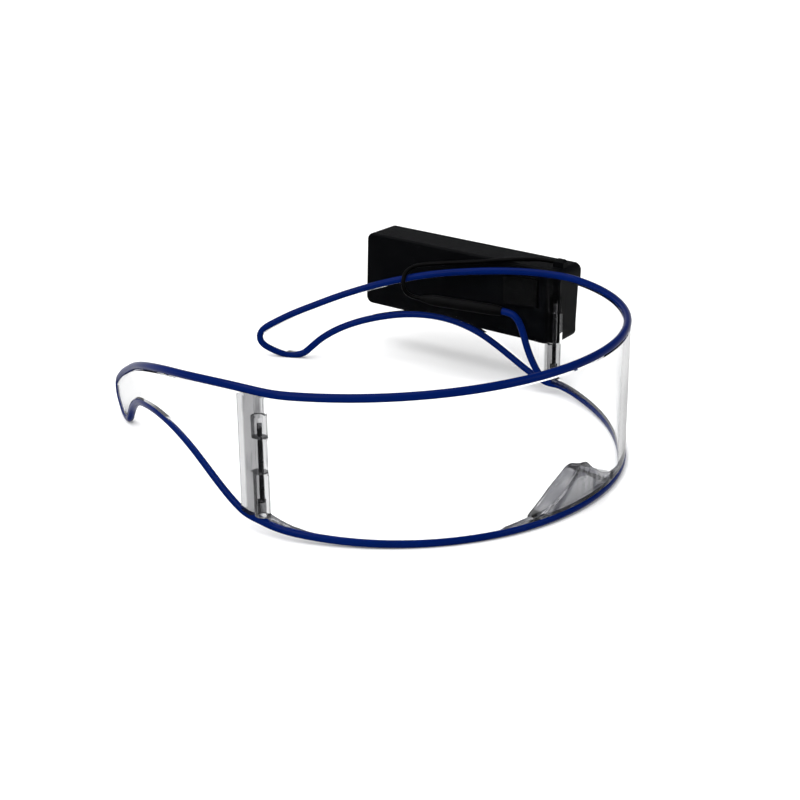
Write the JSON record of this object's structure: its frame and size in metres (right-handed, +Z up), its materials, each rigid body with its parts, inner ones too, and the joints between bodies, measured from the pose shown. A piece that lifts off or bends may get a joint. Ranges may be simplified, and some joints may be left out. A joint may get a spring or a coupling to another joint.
{
  "type": "light up party glasses",
  "caption": "Clear wraparound shield glasses with folding temples, blue glowing wire round every edge and a black battery pack outside one temple.",
  "frame": {"origin": "nose bridge: the underside of the nose saddle's crown, halfway through its depth", "axes": "+X towards the wearer's left, +Y backwards along the temples, +Z up along the hinge pins"},
  "size_m": [0.1644, 0.1604, 0.0462],
  "materials": {
    "clear_plastic": "polished",
    "clear_soft_plastic": "smooth",
    "blue_wire": "glossy sheath",
    "pin_steel": "plain",
    "black_case": "satin",
    "black_sleeve": "satin",
    "black_lead": "satin",
    "foam_tape": "matte",
    "button_plastic": "satin",
    "screw_steel": "blackened",
    "cell_can": "printed sleeve",
    "contact_metal": "nickel",
    "board_green": "solder mask",
    "transformer_wrap": "tape",
    "capacitor_sleeve": "sleeve",
    "switch_plastic": "moulded"
  },
  "bodies": {
    "front": {"front_shield": "clear_plastic", "nose_saddle": "clear_soft_plastic", "hinge_pin_left": "pin_steel", "hinge_pin_right": "pin_steel", "el_wire_front_top": "blue_wire", "el_wire_front_bottom": "blue_wire"},
    "left_temple": {"temple_left": "clear_plastic", "el_wire_temple_left": "blue_wire", "lead_sleeve": "black_sleeve", "pack_lead": "black_lead", "el_wire_lead": "blue_wire", "mounting_pad": "foam_tape", "pack_case": "black_case", "pack_lid": "black_case", "case_screw_front": "screw_steel", "case_screw_rear": "screw_steel", "cell_upper": "cell_can", "cell_lower": "cell_can", "contact_spring_upper": "contact_metal", "contact_spring_lower": "contact_metal", "contact_plate_upper": "contact_metal", "contact_plate_lower": "contact_metal", "contact_bridge": "contact_metal", "circuit_board": "board_green", "transformer": "transformer_wrap", "capacitor": "capacitor_sleeve", "switch_body": "switch_plastic"},
    "right_temple": {"temple_right": "clear_plastic", "el_wire_temple_right": "blue_wire"},
    "door": {"battery_door": "black_case"},
    "button": {"push_button": "button_plastic"}
  },
  "joints": [
    {"name": "left_fold", "type": "hinge", "parent": "front", "child": "left_temple", "pos_m": [0.072, 0.05425, 0.01092], "axis": [0, 0, 1], "range_deg": [0, 74]},
    {"name": "right_fold", "type": "hinge", "parent": "front", "child": "right_temple", "pos_m": [-0.072, 0.05425, 0.01092], "axis": [0, 0, -1], "range_deg": [0, 92]},
    {"name": "door_slide", "type": "slide", "parent": "left_temple", "child": "door", "axis": [-0.0593, 0.9975, 0.0384], "range_m": [0, 0.03]},
    {"name": "button_press", "type": "slide", "parent": "left_temple", "child": "button", "axis": [-0.9982, -0.0593, 0], "range_m": [0, 0.0008], "stiffness_N_per_m": 800, "springref_m": -0.0003}
  ]
}
